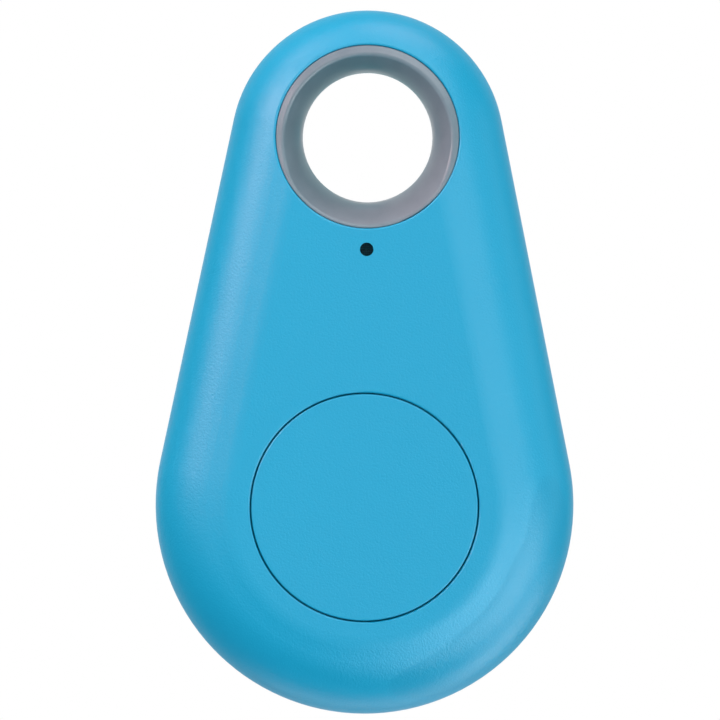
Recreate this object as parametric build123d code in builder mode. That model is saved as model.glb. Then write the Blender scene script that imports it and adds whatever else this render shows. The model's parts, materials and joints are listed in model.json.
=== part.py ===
from build123d import *
import math
import os

# Teardrop bluetooth tracker tag, in millimetres.
# X runs across the tag, Z up toward the key ring and Y from the front face to the back.
# The origin is the centre of the key-ring bore, on the plane where the two shells part.
# A "level" is a height over that plane toward the front, so the back has negative levels.

# Outline: two circles joined by their common tangents
TOP_R = 10.1
TOP_Z = -0.7
BOTTOM_R = 15.45
BOTTOM_Z = -27.15

# Shells
HALF_THICKNESS = 5.5
SHOULDER_INSET = 5.3
SHOULDER_SLOPE = 14.3
SHOULDER_ROUND = 3.5
EDGE_ROUND = 5.0
WALL = 1.3
CAVITY_LEVEL = 4.3
CAVITY_ROUND = 4.0
SEAM = 0.08
TONGUE_INSET = 0.75
TONGUE_LEVEL = 1.0
REBATE_INSET = 0.7
REBATE_LEVEL = 1.05

# Light ring and the collars that trap its flange
BORE_R = 4.8
BORE_LAND = 1.5
RING_R = 6.74
RING_SINK = 0.12
FLANGE_R = 7.6
FLANGE_LEVEL = 1.25
FRONT_RING_HOLE_R = 6.76
REAR_RING_HOLE_R = 6.79
RING_HOLE_ROUND = 0.15
COLLAR_R = 7.75
COLLAR_LEVEL = 1.3

# Push button
BUTTON_Z = -27.3
BUTTON_R = 8.35
BUTTON_HOLE_R = 8.45
BUTTON_FLANGE_R = 9.4
BUTTON_FLANGE_LEVELS = (3.5, 4.22)
BUTTON_POCKET_R = 7.2
BUTTON_EDGE = 0.12
NUB_R = 1.5
NUB_LEVEL = 2.15
GUIDE_R = 9.7
GUIDE_WALL = 0.6
GUIDE_LEVEL = 2.6
KEY_WIDTH = 1.2
KEY_NOTCH_WIDTH = 1.6
KEY_R = 8.9
NOTCH_R = 8.6

# Sound hole
SOUND_HOLE_R = 0.5
SOUND_HOLE_Z = -8.3

# Circuit board and the posts it is staked to
BOARD_FRONT = 0.6
BOARD_BACK = -0.2
BOARD_INSET = 1.7
BOARD_RING_R = 8.3
BOARD_TOP_Z = -5.0
POSTS = [(11.6, -29.5), (-11.6, -29.5), (8.5, -14.0), (-8.5, -14.0)]
POST_R = 1.1
PIN_R = 0.7
PIN_HOLE_R = 0.75
HEAD_R = 1.2
HEAD_LEVELS = (-0.65, -0.25)

# Sounder
SOUNDER_Z = -12.6
SOUNDER_SIZE = 8.5
SOUNDER_LEVELS = (0.65, 1.0, 3.6)
SOUNDER_WALL = 0.5

# Tactile switch under the button
SWITCH_SIZE = 5.2
SWITCH_LEVELS = (0.65, 1.65)
SWITCH_POCKET_R = 2.1
SWITCH_POCKET_LEVEL = 0.95
DOME_R = 2.0
DOME_LEVELS = (0.97, 1.4)
DOME_SHEET = 0.08
STEM_R = 1.0
STEM_HOLE_R = 1.06
STEM_FLANGE_R = 1.5
STEM_LEVELS = (1.46, 1.62, 2.1)
COVER_LEVELS = (1.67, 1.82)

# Coin cell, with depths measured from the parting plane toward the back
CELL_Z = -27.3
CELL_R = 10.0
CELL_FRONT = 0.5
CELL_BACK = 3.7
CELL_SHEET = 0.25

# Spring steel clip over the cell
CLIP_SHEET = 0.2
CLIP_HALF_WIDTH = 10.4
CLIP_FOOT = 1.9
CLIP_Z = (-27.0, -22.0)
CLIP_BACK = 3.95
CLIP_ARM_WIDTH = 4.0
CLIP_ARM_Z = -16.8

os.makedirs("parts", exist_ok=True)

BUTTON_AXIS = Axis((0, 0, BUTTON_Z), (0, 1, 0))
CELL_AXIS = Axis((0, 0, CELL_Z), (0, 1, 0))


def level(height):
    """Plane parallel to the front face, at a height over the parting plane."""
    return Plane.XZ.offset(height)


def teardrop(inset, height):
    """Outline of the tag at a level, moved inward by an inset."""
    with BuildSketch(level(height)) as outline:
        with Locations((0, TOP_Z)):
            Circle(TOP_R - inset)
        with Locations((0, BOTTOM_Z)):
            Circle(BOTTOM_R - inset)
        make_hull()
    return outline.sketch


def pebble_half(inset, base, top):
    """Front half of the tag's outside: a flat face, a shallow shoulder round it and a rounded edge."""
    width = SHOULDER_INSET - inset
    shoulder = top - width * math.tan(math.radians(SHOULDER_SLOPE))
    with BuildPart() as half:
        extrude(teardrop(inset, base), amount=shoulder - base)
        loft(sections=[teardrop(inset, shoulder), teardrop(SHOULDER_INSET, top)], ruled=True)
        outer_edge = half.edges().filter_by_position(Axis.Y, -shoulder - 0.001, -shoulder + 0.001)
        fillet(outer_edge, EDGE_ROUND - inset)
        fillet(half.faces().sort_by(Axis.Y)[0].edges(), SHOULDER_ROUND)
    return half.part


def cavity_half(inset, base, top, rounding):
    """Front half of the free space inside the shells, with its front edge rounded."""
    with BuildPart() as half:
        extrude(teardrop(inset, base), amount=top - base)
        face = half.faces().sort_by(Axis.Y)[0]
        fillet(face.edges(), rounding)
    return half.part


def on_circle(shape, radius, z):
    """Edges of a shape that lie on a cylinder along Y, in front of level 4."""
    def far(edge):
        middle = edge @ 0.5
        distance = math.hypot(middle.X, middle.Z - z)
        return abs(distance - radius) < 0.001 and abs(middle.Y) > 3.9
    return shape.edges().filter_by(far)


def save(shape, name):
    """Label a finished sub-part and write it."""
    shape.label = name
    export_step(shape, "parts/" + name + ".step")


# ---------------------------------------------------------------- shells

outer_half = pebble_half(0, SEAM, HALF_THICKNESS)
inner_half = cavity_half(WALL, 0, CAVITY_LEVEL, CAVITY_ROUND)

# Free space inside the front shell: its collar, posts, guide wall and key are left standing
with BuildPart() as front_space:
    add(inner_half)
    extrude(teardrop(REBATE_INSET, 0), amount=REBATE_LEVEL)
    with BuildSketch(level(COLLAR_LEVEL)):
        Circle(COLLAR_R)
    extrude(amount=HALF_THICKNESS, mode=Mode.SUBTRACT)
    with BuildSketch(level(BOARD_FRONT)):
        with Locations(*POSTS):
            Circle(POST_R)
    extrude(amount=HALF_THICKNESS, mode=Mode.SUBTRACT)
    with BuildSketch(level(GUIDE_LEVEL)):
        with Locations((0, BUTTON_Z)):
            Circle(GUIDE_R + GUIDE_WALL)
            Circle(GUIDE_R, mode=Mode.SUBTRACT)
        with Locations((0, BUTTON_Z - KEY_R)):
            Rectangle(KEY_WIDTH, GUIDE_R - KEY_R + GUIDE_WALL / 2, align=(Align.CENTER, Align.MAX))
    extrude(amount=HALF_THICKNESS, mode=Mode.SUBTRACT)

# Front shell: dished cover with the ring hole, the button opening and the sound hole
with BuildPart() as front_shell:
    add(outer_half)
    add(front_space.part, mode=Mode.SUBTRACT)
    with BuildSketch(level(0)):
        Circle(FRONT_RING_HOLE_R)
        with Locations((0, SOUND_HOLE_Z)):
            Circle(SOUND_HOLE_R)
        with Locations((0, BUTTON_Z)):
            Circle(BUTTON_HOLE_R)
    extrude(amount=HALF_THICKNESS + 1, mode=Mode.SUBTRACT)
    fillet(on_circle(front_shell, FRONT_RING_HOLE_R, 0), RING_HOLE_ROUND)
    button_rim = on_circle(front_shell, BUTTON_HOLE_R, BUTTON_Z).sort_by(Axis.Y)[0]
    fillet(button_rim, BUTTON_EDGE)
    # pins of the posts through the board, with heat-staked heads behind it
    with BuildSketch(level(HEAD_LEVELS[0])):
        with Locations(*POSTS):
            Circle(PIN_R)
    extrude(amount=BOARD_FRONT - HEAD_LEVELS[0])
    with BuildSketch(level(HEAD_LEVELS[0])):
        with Locations(*POSTS):
            Circle(HEAD_R)
    extrude(amount=HEAD_LEVELS[1] - HEAD_LEVELS[0])

# Free space inside the rear shell, mirrored from the front
RIB_R = 10.5
RIB_WALL = 0.6
RIB_LEVEL = -2.6
RIB_X = 6.4
RIB_WIDTH = 3.6
with BuildPart() as rear_space:
    mirror(inner_half, about=Plane.XZ)
    with BuildSketch(level(-COLLAR_LEVEL)):
        Circle(COLLAR_R)
    extrude(amount=-HALF_THICKNESS, mode=Mode.SUBTRACT)
    # two short ribs that stop the cell sliding up
    with BuildSketch(level(RIB_LEVEL)):
        with Locations((0, CELL_Z)):
            Circle(RIB_R + RIB_WALL)
            Circle(RIB_R, mode=Mode.SUBTRACT)
        with Locations((RIB_X, CELL_Z), (-RIB_X, CELL_Z)):
            Rectangle(RIB_WIDTH, 2 * RIB_R, align=(Align.CENTER, Align.MIN), mode=Mode.INTERSECT)
    extrude(amount=-HALF_THICKNESS, mode=Mode.SUBTRACT)

# Rear shell: the battery cover, with a tongue that plugs into the front shell
PRY_WIDTH = 5.0
PRY_DEPTH = 0.6
PRY_LEVELS = (-1.0, 0)
with BuildPart() as rear_shell:
    mirror(outer_half, about=Plane.XZ)
    add(rear_space.part, mode=Mode.SUBTRACT)
    tongue_base = -0.5
    extrude(teardrop(TONGUE_INSET, tongue_base), amount=TONGUE_LEVEL - tongue_base)
    extrude(teardrop(WALL, tongue_base), amount=TONGUE_LEVEL - tongue_base, mode=Mode.SUBTRACT)
    with BuildSketch(level(0)):
        Circle(REAR_RING_HOLE_R)
    extrude(amount=-HALF_THICKNESS - 1, mode=Mode.SUBTRACT)
    fillet(on_circle(rear_shell, REAR_RING_HOLE_R, 0), RING_HOLE_ROUND)
    # slot for a fingernail or a coin at the lower end of the seam
    with BuildSketch(level(PRY_LEVELS[0])):
        with Locations((0, BOTTOM_Z - BOTTOM_R + PRY_DEPTH)):
            Rectangle(PRY_WIDTH, 2, align=(Align.CENTER, Align.MAX))
    extrude(amount=PRY_LEVELS[1] - PRY_LEVELS[0], mode=Mode.SUBTRACT)

save(front_shell.part, "front_shell")
save(rear_shell.part, "rear_shell")

# ---------------------------------------------------------------- light ring

# Everything that lies a little way under the tag's outer surface: it trims the ring's lips
RING_LEVEL = HALF_THICKNESS - RING_SINK
with BuildPart() as ring_limit:
    front_limit = pebble_half(RING_SINK, 0, RING_LEVEL)
    add(front_limit)
    mirror(front_limit, about=Plane.XZ)

# Translucent bushing: straight bore, mouths that flare out to a rounded lip, middle flange
FLARE_R = 6.6
FLARE_LEVEL = 5.46
LIP_ROUND = 0.25
RIM_ROUND = 0.08


def inside_rim(edge):
    """Tells if an edge lies where the flare of a mouth meets its lip."""
    middle = edge @ 0.5
    return abs(middle.Y) > 4 and math.hypot(middle.X, middle.Z) < FLARE_R


with BuildPart() as light_ring:
    with BuildSketch(Plane.XY):
        with BuildLine():
            Line((BORE_R, 0), (BORE_R, BORE_LAND))
            Bezier((BORE_R, BORE_LAND), (BORE_R, 3.0), (5.6, 4.4), (FLARE_R, FLARE_LEVEL))
            Line((FLARE_R, FLARE_LEVEL), (RING_R, FLARE_LEVEL))
            Line((RING_R, FLARE_LEVEL), (RING_R, FLANGE_LEVEL))
            Line((RING_R, FLANGE_LEVEL), (FLANGE_R, FLANGE_LEVEL))
            Line((FLANGE_R, FLANGE_LEVEL), (FLANGE_R, 0))
            mirror(about=Plane.XZ)
        make_face()
    revolve(axis=Axis.Y)
    add(ring_limit.part, mode=Mode.INTERSECT)
    fillet(light_ring.edges().filter_by(GeomType.BSPLINE).filter_by(inside_rim), LIP_ROUND)
    fillet(on_circle(light_ring, RING_R, 0), RIM_ROUND)
save(light_ring.part, "light_ring")

# ---------------------------------------------------------------- push button

RIB_LOW = 3.7
CAP_SKIN_LEVEL = 4.3
with BuildPart() as push_button:
    with BuildSketch(level(BUTTON_FLANGE_LEVELS[0])):
        with Locations((0, BUTTON_Z)):
            Circle(BUTTON_FLANGE_R)
        with Locations((0, BUTTON_Z - NOTCH_R)):
            Rectangle(KEY_NOTCH_WIDTH, 2, align=(Align.CENTER, Align.MAX), mode=Mode.SUBTRACT)
    extrude(amount=BUTTON_FLANGE_LEVELS[1] - BUTTON_FLANGE_LEVELS[0])
    with BuildSketch(level(BUTTON_FLANGE_LEVELS[0])):
        with Locations((0, BUTTON_Z)):
            Circle(BUTTON_R)
    extrude(amount=HALF_THICKNESS - BUTTON_FLANGE_LEVELS[0])
    fillet(push_button.edges().sort_by(Axis.Y)[0], BUTTON_EDGE)
    # pocket behind the cap, with crossed ribs and the nub that presses the switch
    with BuildSketch(level(BUTTON_FLANGE_LEVELS[0])):
        with Locations((0, BUTTON_Z)):
            Circle(BUTTON_POCKET_R)
    extrude(amount=CAP_SKIN_LEVEL - BUTTON_FLANGE_LEVELS[0], mode=Mode.SUBTRACT)
    with BuildSketch(level(RIB_LOW)):
        with Locations((0, BUTTON_Z)):
            Rectangle(2 * BUTTON_POCKET_R, 0.7)
            Rectangle(0.7, 2 * BUTTON_POCKET_R)
    extrude(amount=CAP_SKIN_LEVEL - RIB_LOW)
    with BuildSketch(level(NUB_LEVEL)):
        with Locations((0, BUTTON_Z)):
            Circle(NUB_R)
    extrude(amount=CAP_SKIN_LEVEL - NUB_LEVEL)
    nub_tip = push_button.edges().sort_by(Axis.Y)[-1]
    fillet(nub_tip, 0.3)
save(push_button.part, "push_button")

# ---------------------------------------------------------------- circuit board

with BuildPart() as circuit_board:
    extrude(teardrop(BOARD_INSET, BOARD_BACK), amount=BOARD_FRONT - BOARD_BACK)
    with BuildSketch(level(BOARD_BACK)):
        Circle(BOARD_RING_R)
        with Locations((0, BOARD_TOP_Z)):
            Rectangle(4 * TOP_R, 2 * TOP_R, align=(Align.CENTER, Align.MIN))
        with Locations(*POSTS):
            Circle(PIN_HOLE_R)
    extrude(amount=BOARD_FRONT - BOARD_BACK, mode=Mode.SUBTRACT)
    horn_corners = circuit_board.edges().filter_by(Axis.Y).group_by(Axis.Z)[-1]
    fillet(horn_corners, 0.5)
save(circuit_board.part, "circuit_board")

# Printed antenna: meander of copper along the lower edge of the board
TRACE = 0.5
TRACE_HEIGHT = 0.06
TRACE_PITCH = 1.2
TRACE_BARS = 9
TRACE_TOP = -37.2
TRACE_LENGTH = 2.2
with BuildPart() as antenna_trace:
    with BuildSketch(level(BOARD_FRONT)):
        for bar in range(TRACE_BARS):
            bar_x = (bar - (TRACE_BARS - 1) / 2) * TRACE_PITCH
            with Locations((bar_x, TRACE_TOP)):
                Rectangle(TRACE, TRACE_LENGTH, align=(Align.CENTER, Align.MAX))
        for link in range(TRACE_BARS - 1):
            link_x = (link - (TRACE_BARS - 2) / 2) * TRACE_PITCH
            link_z = TRACE_TOP - (TRACE / 2 if link % 2 else TRACE_LENGTH - TRACE / 2)
            with Locations((link_x, link_z)):
                Rectangle(TRACE_PITCH, TRACE)
        with Locations(((TRACE_BARS - 1) / 2 * TRACE_PITCH, TRACE_TOP)):
            Rectangle(TRACE, 1.6, align=(Align.CENTER, Align.MIN))
    extrude(amount=TRACE_HEIGHT)
save(antenna_trace.part, "antenna_trace")

# Radio chip with its metal pad underneath
CHIP_POS = (-7.0, -22.4)
with BuildPart() as bluetooth_chip:
    with BuildSketch(level(BOARD_FRONT + 0.05)):
        with Locations(CHIP_POS):
            RectangleRounded(5.0, 5.0, 0.2)
    extrude(amount=0.85)
    chamfer(bluetooth_chip.edges().group_by(Axis.Y)[0], 0.08)
    with BuildSketch(level(BOARD_FRONT)):
        with Locations(CHIP_POS):
            Rectangle(3.4, 3.4)
    extrude(amount=0.05)
    # dimple that marks the first pad
    with BuildSketch(level(BOARD_FRONT + 0.85)):
        with Locations((CHIP_POS[0] - 1.8, CHIP_POS[1] + 1.8)):
            Circle(0.3)
    extrude(amount=0.1, mode=Mode.SUBTRACT)
save(bluetooth_chip.part, "bluetooth_chip")

# Crystal can
with BuildPart() as crystal:
    with BuildSketch(level(BOARD_FRONT)):
        with Locations((-7.2, -29.6)):
            RectangleRounded(3.2, 2.5, 0.25)
    extrude(amount=0.35)
    with BuildSketch(level(BOARD_FRONT + 0.35)):
        with Locations((-7.2, -29.6)):
            RectangleRounded(2.8, 2.1, 0.3)
    extrude(amount=0.35)
    fillet(crystal.faces().sort_by(Axis.Y)[0].edges(), 0.1)
save(crystal.part, "crystal")

# Wound inductor: square core plate with a drum on it
with BuildPart() as inductor:
    with BuildSketch(level(BOARD_FRONT)):
        with Locations((7.4, -23.2)):
            RectangleRounded(3.0, 3.0, 0.3)
    extrude(amount=0.3)
    with BuildSketch(level(BOARD_FRONT + 0.3)):
        with Locations((7.4, -23.2)):
            Circle(1.3)
    extrude(amount=0.8)
    with BuildSketch(level(BOARD_FRONT + 1.1)):
        with Locations((7.4, -23.2)):
            Circle(1.45)
    extrude(amount=0.2)
save(inductor.part, "inductor")

# Transistor: body and three bent leads
TRANSISTOR = (6.6, -18.9)
with BuildPart() as transistor:
    with BuildSketch(level(BOARD_FRONT + 0.1)):
        with Locations(TRANSISTOR):
            Rectangle(2.9, 1.3)
    extrude(amount=0.95, taper=4)
    with BuildSketch(level(BOARD_FRONT)):
        with Locations((TRANSISTOR[0] - 0.95, TRANSISTOR[1] - 0.9)):
            Rectangle(0.4, 0.7)
        with Locations((TRANSISTOR[0] + 0.95, TRANSISTOR[1] - 0.9)):
            Rectangle(0.4, 0.7)
        with Locations((TRANSISTOR[0], TRANSISTOR[1] + 0.9)):
            Rectangle(0.4, 0.7)
    extrude(amount=0.15)
save(transistor.part, "transistor")

# Chip capacitors and resistors, one node each as groups of separate solids
CAPACITORS = [(-3.4, -20.4), (-3.4, -22.2), (-10.4, -22.0), (-10.4, -24.0), (-7.2, -26.2), (-4.9, -31.9)]
with BuildPart() as capacitors:
    with BuildSketch(level(BOARD_FRONT)):
        with Locations(*CAPACITORS):
            Rectangle(1.0, 0.5)
    extrude(amount=0.5)
save(capacitors.part, "capacitors")

RESISTORS = [(3.4, -20.0), (3.4, -21.6), (8.2, -26.4), (8.2, -28.0), (6.4, -30.6), (7.0, -6.0)]
with BuildPart() as resistors:
    with BuildSketch(level(BOARD_FRONT)):
        with Locations(*RESISTORS):
            Rectangle(1.0, 0.5)
    extrude(amount=0.35)
save(resistors.part, "resistors")

# Gold test pads on the back of the board, above the cell
TEST_PADS = [(-5.0, -14.9), (-3.0, -14.9), (-1.0, -14.9), (1.0, -14.9), (3.0, -14.9), (5.0, -14.9)]
with BuildPart() as test_pads:
    with BuildSketch(level(BOARD_BACK)):
        with Locations(*TEST_PADS):
            Circle(0.55)
    extrude(amount=-0.05)
save(test_pads.part, "test_pads")

# ---------------------------------------------------------------- status light

# Side-looking LED on the board edge, turned so that it shines into the ring's flange
LED_ANGLE = -50
LED_AIM = (math.cos(math.radians(LED_ANGLE)), 0, math.sin(math.radians(LED_ANGLE)))
LED_PLANE = Plane(origin=(0, -BOARD_FRONT, 0), x_dir=LED_AIM, z_dir=(0, -1, 0))
with BuildPart() as status_led_body:
    with BuildSketch(LED_PLANE):
        with Locations((9.35, 0)):
            Rectangle(0.8, 1.6)
    extrude(amount=0.6)
save(status_led_body.part, "status_led_body")

with BuildPart() as status_led_lens:
    with BuildSketch(LED_PLANE.offset(0.08)):
        with Locations((8.95, 0)):
            Rectangle(0.4, 1.2, align=(Align.MAX, Align.CENTER))
    extrude(amount=0.44)
    lens_front = status_led_lens.faces().sort_by_distance((0, 0, 0))[0]
    fillet(lens_front.edges(), 0.1)
save(status_led_lens.part, "status_led_lens")

# ---------------------------------------------------------------- sounder

SOUNDER_INNER = SOUNDER_SIZE - 2 * SOUNDER_WALL
with BuildPart() as sounder_case:
    with BuildSketch(level(SOUNDER_LEVELS[1])):
        with Locations((0, SOUNDER_Z)):
            RectangleRounded(SOUNDER_SIZE, SOUNDER_SIZE, 0.6)
    extrude(amount=SOUNDER_LEVELS[2] - SOUNDER_LEVELS[1])
    fillet(sounder_case.faces().sort_by(Axis.Y)[0].edges(), 0.2)
    with BuildSketch(level(SOUNDER_LEVELS[1])):
        with Locations((0, SOUNDER_Z)):
            RectangleRounded(SOUNDER_INNER, SOUNDER_INNER, 0.4)
    extrude(amount=SOUNDER_LEVELS[2] - SOUNDER_LEVELS[1] - SOUNDER_WALL, mode=Mode.SUBTRACT)
    # vent in the side that faces the sound hole
    with BuildSketch(Plane.XY.offset(SOUNDER_Z + SOUNDER_SIZE / 2 - 1)):
        with Locations((0, -2.85)):
            Rectangle(2.4, 0.5)
    extrude(amount=2, mode=Mode.SUBTRACT)
save(sounder_case.part, "sounder_case")

CORE_R = 0.9
with BuildPart() as sounder_base:
    with BuildSketch(level(SOUNDER_LEVELS[0])):
        with Locations((0, SOUNDER_Z)):
            RectangleRounded(SOUNDER_SIZE, SOUNDER_SIZE, 0.6)
    extrude(amount=SOUNDER_LEVELS[1] - SOUNDER_LEVELS[0])
    with BuildSketch(level(SOUNDER_LEVELS[1])):
        with Locations((0, SOUNDER_Z)):
            Circle(CORE_R)
    extrude(amount=1.4)
save(sounder_base.part, "sounder_base")

with BuildPart() as sounder_coil:
    with BuildSketch(level(SOUNDER_LEVELS[1] + 0.05)):
        with Locations((0, SOUNDER_Z)):
            Circle(2.1)
            Circle(CORE_R + 0.05, mode=Mode.SUBTRACT)
    extrude(amount=1.2)
    fillet(sounder_coil.edges().group_by(Axis.Y)[0], 0.15)
save(sounder_coil.part, "sounder_coil")

with BuildPart() as sounder_magnet:
    with BuildSketch(level(SOUNDER_LEVELS[1])):
        with Locations((0, SOUNDER_Z)):
            Circle(3.5)
            Circle(2.5, mode=Mode.SUBTRACT)
    extrude(amount=1.4)
save(sounder_magnet.part, "sounder_magnet")

with BuildPart() as sounder_diaphragm:
    with BuildSketch(level(2.5)):
        with Locations((0, SOUNDER_Z)):
            Circle(3.6)
    extrude(amount=0.1)
    with BuildSketch(level(2.6)):
        with Locations((0, SOUNDER_Z)):
            Circle(1.3)
    extrude(amount=0.2)
save(sounder_diaphragm.part, "sounder_diaphragm")

SOUNDER_LEG = 3.3
with BuildPart() as sounder_terminals:
    with BuildSketch(level(BOARD_FRONT)):
        for side in (-1, 1):
            for end in (-1, 1):
                with Locations((side * SOUNDER_LEG, SOUNDER_Z + end * SOUNDER_LEG)):
                    Rectangle(1.4, 1.4)
    extrude(amount=0.05)
save(sounder_terminals.part, "sounder_terminals")

# ---------------------------------------------------------------- tactile switch

with BuildPart() as switch_base:
    with BuildSketch(level(SWITCH_LEVELS[0])):
        with Locations((0, BUTTON_Z)):
            RectangleRounded(SWITCH_SIZE, SWITCH_SIZE, 0.3)
    extrude(amount=SWITCH_LEVELS[1] - SWITCH_LEVELS[0])
    with BuildSketch(level(SWITCH_POCKET_LEVEL)):
        with Locations((0, BUTTON_Z)):
            Circle(SWITCH_POCKET_R)
    extrude(amount=1, mode=Mode.SUBTRACT)
save(switch_base.part, "switch_base")

with BuildPart() as switch_cover:
    with BuildSketch(level(COVER_LEVELS[0])):
        with Locations((0, BUTTON_Z)):
            RectangleRounded(SWITCH_SIZE + 0.1, SWITCH_SIZE + 0.1, 0.3)
            Circle(STEM_HOLE_R, mode=Mode.SUBTRACT)
    extrude(amount=COVER_LEVELS[1] - COVER_LEVELS[0])
    # tabs folded down the two sides
    with BuildSketch(level(1.1)):
        for side in (-1, 1):
            with Locations((side * (SWITCH_SIZE / 2 + 0.075), BUTTON_Z)):
                Rectangle(0.12, 2.0)
    extrude(amount=COVER_LEVELS[1] - 1.1)
save(switch_cover.part, "switch_cover")

# Snap dome: a thin cap of a sphere
with BuildPart() as switch_dome:
    with BuildSketch(Plane.XY.offset(BUTTON_Z)):
        with BuildLine():
            rim_y = -DOME_LEVELS[0]
            crown_y = -DOME_LEVELS[1]
            Bezier((0, crown_y), (DOME_R * 0.6, crown_y), (DOME_R, rim_y))
            Line((DOME_R, rim_y), (DOME_R - 0.2, rim_y))
            Bezier((DOME_R - 0.2, rim_y), (DOME_R * 0.55, crown_y + DOME_SHEET), (0, crown_y + DOME_SHEET))
            Line((0, crown_y + DOME_SHEET), (0, crown_y))
        make_face()
    revolve(axis=BUTTON_AXIS)
save(switch_dome.part, "switch_dome")

with BuildPart() as switch_stem:
    with BuildSketch(level(STEM_LEVELS[0])):
        with Locations((0, BUTTON_Z)):
            Circle(STEM_FLANGE_R)
    extrude(amount=STEM_LEVELS[1] - STEM_LEVELS[0])
    with BuildSketch(level(STEM_LEVELS[1])):
        with Locations((0, BUTTON_Z)):
            Circle(STEM_R)
    extrude(amount=STEM_LEVELS[2] - STEM_LEVELS[1])
    fillet(switch_stem.edges().sort_by(Axis.Y)[0], 0.1)
save(switch_stem.part, "switch_stem")

SWITCH_LEG_X = 2.75
SWITCH_LEG_Z = 1.85
with BuildPart() as switch_terminals:
    with BuildSketch(level(BOARD_FRONT)):
        for side in (-1, 1):
            for end in (-1, 1):
                with Locations((side * SWITCH_LEG_X, BUTTON_Z + end * SWITCH_LEG_Z)):
                    Rectangle(1.2, 0.7)
    extrude(amount=0.05)
    with BuildSketch(level(BOARD_FRONT + 0.05)):
        for side in (-1, 1):
            for end in (-1, 1):
                with Locations((side * (SWITCH_SIZE / 2 + 0.08), BUTTON_Z + end * SWITCH_LEG_Z)):
                    Rectangle(0.12, 0.7)
    extrude(amount=0.6)
save(switch_terminals.part, "switch_terminals")

# ---------------------------------------------------------------- coin cell

# Can: the back and the side of the cell, its lip rolled in over the gasket
CAN_INNER_R = CELL_R - CELL_SHEET
CAN_INNER_BACK = CELL_BACK - CELL_SHEET
with BuildPart() as cell_can:
    with BuildSketch(Plane.XY.offset(CELL_Z)):
        with BuildLine():
            Line((0, CELL_BACK), (9.6, CELL_BACK))
            ThreePointArc((9.6, CELL_BACK), (9.883, 3.583), (CELL_R, 3.3))
            Line((CELL_R, 3.3), (CELL_R, 1.1))
            ThreePointArc((CELL_R, 1.1), (9.88, 0.83), (9.6, 0.72))
            Line((9.6, 0.72), (9.35, 0.72))
            Line((9.35, 0.72), (9.35, 0.9))
            Line((9.35, 0.9), (CAN_INNER_R, 1.25))
            Line((CAN_INNER_R, 1.25), (CAN_INNER_R, CAN_INNER_BACK))
            Line((CAN_INNER_R, CAN_INNER_BACK), (0, CAN_INNER_BACK))
            Line((0, CAN_INNER_BACK), (0, CELL_BACK))
        make_face()
    revolve(axis=CELL_AXIS)
save(cell_can.part, "cell_can")

# Cap: the stepped front pole of the cell
with BuildPart() as cell_cap:
    with BuildSketch(Plane.XY.offset(CELL_Z)):
        with BuildLine():
            Polyline(
                (0, CELL_FRONT),
                (8.3, CELL_FRONT),
                (8.6, 0.85),
                (8.9, 0.85),
                (8.9, 1.6),
                (8.7, 1.6),
                (8.7, 1.05),
                (8.45, 1.05),
                (8.15, 0.7),
                (0, 0.7),
                close=True,
            )
        make_face()
    revolve(axis=CELL_AXIS)
save(cell_cap.part, "cell_cap")

with BuildPart() as cell_gasket:
    with BuildSketch(Plane.XY.offset(CELL_Z)):
        with BuildLine():
            Polyline(
                (8.95, 0.8),
                (9.3, 0.8),
                (9.3, 0.95),
                (9.68, 1.3),
                (9.68, 3.4),
                (9.2, 3.4),
                (9.2, 1.7),
                (8.95, 1.7),
                close=True,
            )
        make_face()
    revolve(axis=CELL_AXIS)
save(cell_gasket.part, "cell_gasket")

# Lithium disc under the cap and the pressed pellet in the can
with BuildPart() as cell_anode:
    with BuildSketch(level(-0.75)):
        with Locations((0, CELL_Z)):
            Circle(8.0)
    extrude(amount=-0.95)
save(cell_anode.part, "cell_anode")

with BuildPart() as cell_cathode:
    with BuildSketch(level(-1.9)):
        with Locations((0, CELL_Z)):
            Circle(8.9)
    extrude(amount=-1.5)
save(cell_cathode.part, "cell_cathode")

# ---------------------------------------------------------------- cell contacts

# Positive clip: a strap over the back of the cell, two legs with feet, and a stop above the cell
with BuildPart() as cell_clip:
    board_y = -BOARD_BACK
    strap_width = CLIP_Z[1] - CLIP_Z[0]
    with BuildSketch(Plane.XY.offset(CLIP_Z[0])):
        with Locations((0, board_y)):
            Rectangle(2 * CLIP_HALF_WIDTH, CLIP_BACK - board_y, align=(Align.CENTER, Align.MIN))
            Rectangle(
                2 * (CLIP_HALF_WIDTH - CLIP_SHEET),
                CLIP_BACK - board_y - CLIP_SHEET,
                align=(Align.CENTER, Align.MIN),
                mode=Mode.SUBTRACT,
            )
            Rectangle(2 * (CLIP_HALF_WIDTH + CLIP_FOOT), CLIP_SHEET, align=(Align.CENTER, Align.MIN))
            Rectangle(
                2 * (CLIP_HALF_WIDTH - CLIP_SHEET),
                CLIP_SHEET,
                align=(Align.CENTER, Align.MIN),
                mode=Mode.SUBTRACT,
            )
    extrude(amount=strap_width)
    strap_bends = cell_clip.edges().filter_by(Axis.Z).group_by(Axis.Y)[-1]
    fillet(strap_bends, CLIP_SHEET * 0.9)
    with BuildSketch(level(-CLIP_BACK + CLIP_SHEET)):
        with Locations((0, CLIP_Z[1])):
            Rectangle(CLIP_ARM_WIDTH, CLIP_ARM_Z - CLIP_Z[1], align=(Align.CENTER, Align.MIN))
    extrude(amount=-CLIP_SHEET)
    with BuildSketch(Plane.XY.offset(CLIP_ARM_Z - CLIP_SHEET)):
        with Locations((0, board_y + 0.1)):
            Rectangle(CLIP_ARM_WIDTH, CLIP_BACK - board_y - 0.1, align=(Align.CENTER, Align.MIN))
    extrude(amount=CLIP_SHEET)
save(cell_clip.part, "cell_clip")

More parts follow.
